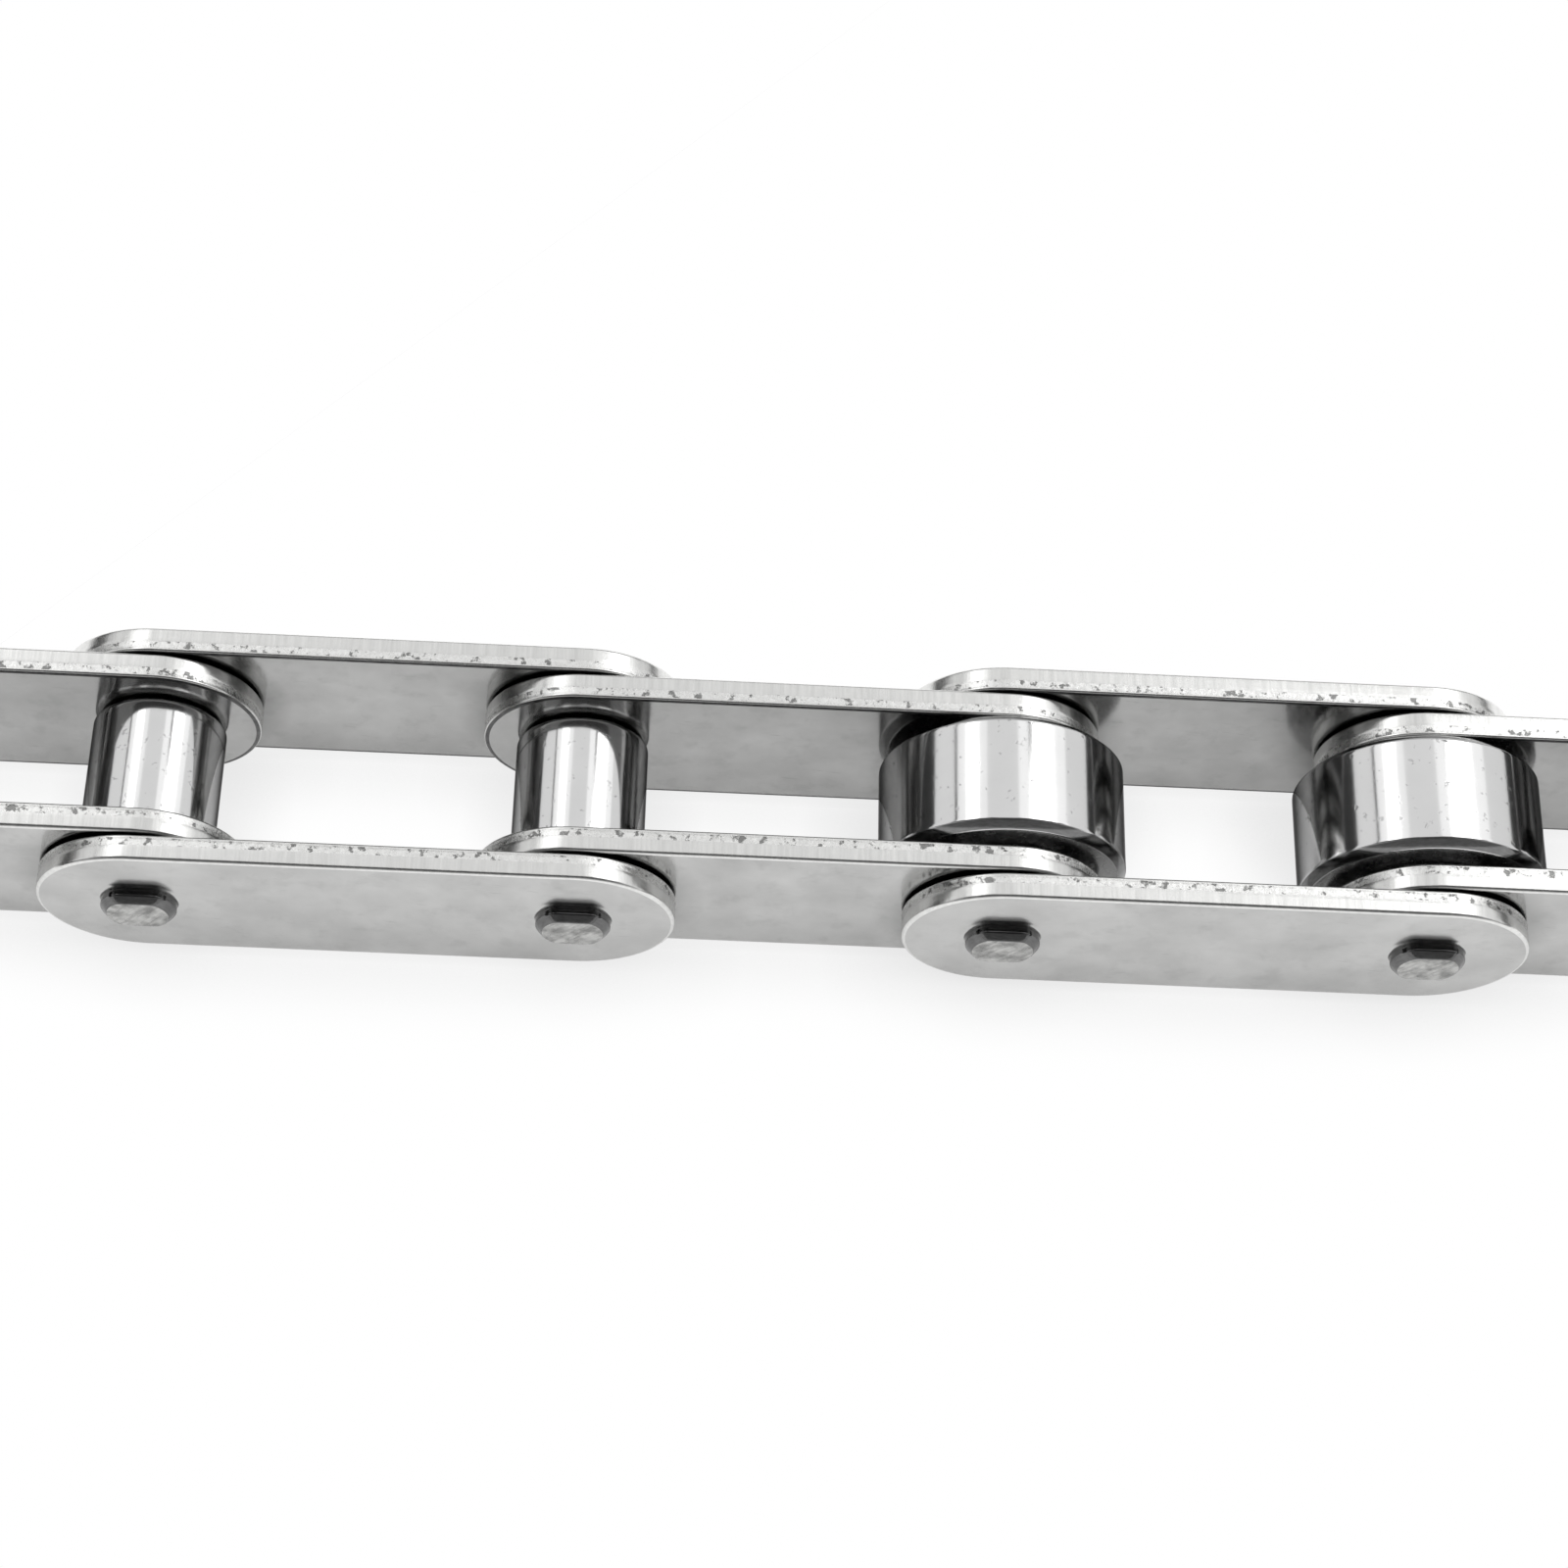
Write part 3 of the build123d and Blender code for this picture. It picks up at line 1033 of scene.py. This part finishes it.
def make_cards(sizes):
    """Cards and thin frames round the set, which only the metal's reflections see."""
    card_reach, frame_reach, frame_end = 0.7, 0.58, 0.50
    across, up = 24, 12
    centre = Vector(((axis_places[0] + axis_places[-1]) / 2, 0, cad_low.z))
    dark = matt_material("dark_card", sizes.card_grey, 1.0)
    grey = matt_material("grey_card", sizes.low_grey, 1.0)
    screen = matt_material("screen_card", sizes.screen_grey, 1.0)

    # Parts of a dome about the strand, in degrees: from and to round it, 0 in front, then bottom and top
    cards = {"front_card": (-78, 78, 16, 40, grey), "front_screen": (-100, 100, 40, 80, screen),
             "left_card": (-130, -62, 0, 19, dark), "right_card": (62, 130, 0, 10, dark),
             "back_card": (130, 230, 0, 24, grey)}
    for name, (first, last, bottom, top, material) in cards.items():
        points = []
        for row in range(up + 1):
            rise = math.radians(bottom + (top - bottom) * row / up)
            level = math.cos(rise)
            for column in range(across + 1):
                turn = math.radians(first + (last - first) * column / across)
                outward = Vector((math.sin(turn) * level, -math.cos(turn) * level, math.sin(rise)))
                points.append(centre + outward * card_reach)
        hang_card(name, points, across, up, material)

    # Strips along the pins over the strand: lean from upright to the right, in degrees, and start along Y
    frames = {"right_frame": (20.5, 24.5, 0.287), "left_frame": (-47.5, -45.0, 0.05)}
    for name, (first, last, start) in frames.items():
        points = []
        for lean in (math.radians(first), math.radians(last)):
            x, z = math.sin(lean) * frame_reach, math.cos(lean) * frame_reach
            points += [centre + Vector((x, y, z)) for y in (start, frame_end)]
        hang_card(name, points, 1, 1, dark)


def hang_card(name, points, across, up, material):
    """Makes one card from a grid of points, seen in reflections but not by the camera or the light."""
    faces = []
    for row in range(up):
        for column in range(across):
            corner = row * (across + 1) + column
            faces.append((corner, corner + 1, corner + across + 2, corner + across + 1))
    mesh = bpy.data.meshes.new(name)
    mesh.from_pydata(points, [], faces)
    mesh.materials.append(material)
    card = bpy.data.objects.new(name, mesh)
    bpy.context.scene.collection.objects.link(card)
    card.visible_camera = False
    card.visible_diffuse = False
    card.visible_shadow = False


def make_world(scene, sizes):
    """White all round for the camera and for reflections, and softer as a light."""
    world = bpy.data.worlds.new("studio")
    world.use_nodes = True
    scene.world = world
    tree = world.node_tree
    background = tree.nodes["Background"]
    background.inputs["Color"].default_value = (1, 1, 1, 1)
    tree.links.new(by_ray(tree, sizes.world_strength, 1.0), background.inputs["Strength"])


def make_lamps(sizes):
    """Two soft boxes above and behind the strand, each with a brighter tube along its middle."""
    reach, back, length = 0.6, 0.28, 0.7
    middle = (axis_places[0] + axis_places[-1]) / 2

    # Lean from upright to the right, in degrees, width, and share of the lamps' brightness
    boxes = {"soft_box_right": (34, 0.50, 0.25), "right_tube": (33, 0.25, 0.9),
             "soft_box_left": (-33, 0.34, 0.2), "left_tube": (-31, 0.12, 0.8)}
    for name, (lean, width, share) in boxes.items():
        lamp = bpy.data.lights.new(name, "AREA")
        lamp.shape = "RECTANGLE"
        lamp.size = width
        lamp.size_y = length
        lamp.energy = sizes.lamp_strength * share * math.pi * lamp.size * lamp.size_y
        holder = bpy.data.objects.new(name, lamp)
        turn = math.radians(lean)
        holder.location = (middle + math.sin(turn) * reach, back, math.cos(turn) * reach)
        holder.rotation_euler = (0, turn, 0)
        bpy.context.scene.collection.objects.link(holder)


def make_camera(scene, sizes):
    """Camera above and in front of the strand, turned so that the strand runs slightly downhill."""
    level = math.cos(sizes.elevation)
    aim = Vector((sizes.aim_along, 0, sizes.aim_height))
    back = Vector((-math.sin(sizes.azimuth) * level, -math.cos(sizes.azimuth) * level,
                   math.sin(sizes.elevation)))
    lens = bpy.data.cameras.new("camera")
    lens.lens = sizes.lens
    lens.sensor_width = 36
    lens.clip_start = 0.01
    camera = bpy.data.objects.new("camera", lens)
    place = Matrix.Translation(aim + back * sizes.distance)
    upright = back.to_track_quat("Z", "Y").to_matrix().to_4x4()
    camera.matrix_world = place @ upright @ Matrix.Rotation(sizes.roll, 4, "Z")
    scene.collection.objects.link(camera)
    scene.camera = camera
    scene.view_settings.view_transform = "Standard"


class CHAIN_PT_panel(bpy.types.Panel):
    """Lists the pieces of the chain and its stage"""

    bl_idname = "CHAIN_PT_panel"
    bl_label = "Roller Chain"
    bl_space_type = "VIEW_3D"
    bl_region_type = "UI"
    bl_category = "Chain"

    def draw(self, context):
        for operator in operators:
            self.layout.operator(operator.bl_idname)
        for group in property_groups:
            box = self.layout.box()
            settings = getattr(context.scene, group)
            for name in settings.__annotations__:
                box.prop(settings, name)


operators = (CHAIN_OT_inner_plates, CHAIN_OT_outer_plates, CHAIN_OT_bushes, CHAIN_OT_small_rollers,
             CHAIN_OT_large_rollers, CHAIN_OT_pins, CHAIN_OT_stage)
property_groups = {"chain_plates": ChainPlateSizes, "chain_rollers": ChainRollerSizes,
                   "chain_pins": ChainPinSizes, "chain_looks": ChainLooks, "chain_stage": ChainStageSizes}


def register():
    """Adds the operators, the panel and the settings to Blender."""
    for group in property_groups.values():
        bpy.utils.register_class(group)
    for name, group in property_groups.items():
        setattr(bpy.types.Scene, name, PointerProperty(type=group))
    for operator in operators:
        bpy.utils.register_class(operator)
    bpy.utils.register_class(CHAIN_PT_panel)


def unregister():
    """Takes them out again."""
    bpy.utils.unregister_class(CHAIN_PT_panel)
    for operator in reversed(operators):
        bpy.utils.unregister_class(operator)
    for name, group in property_groups.items():
        delattr(bpy.types.Scene, name)
        bpy.utils.unregister_class(group)


def main():
    """Registers the add-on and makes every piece."""
    register()
    bpy.ops.chain.inner_plates()
    bpy.ops.chain.outer_plates()
    bpy.ops.chain.bushes()
    bpy.ops.chain.small_rollers()
    bpy.ops.chain.large_rollers()
    bpy.ops.chain.pins()
    bpy.ops.chain.stage()


if __name__ == "__main__":
    main()
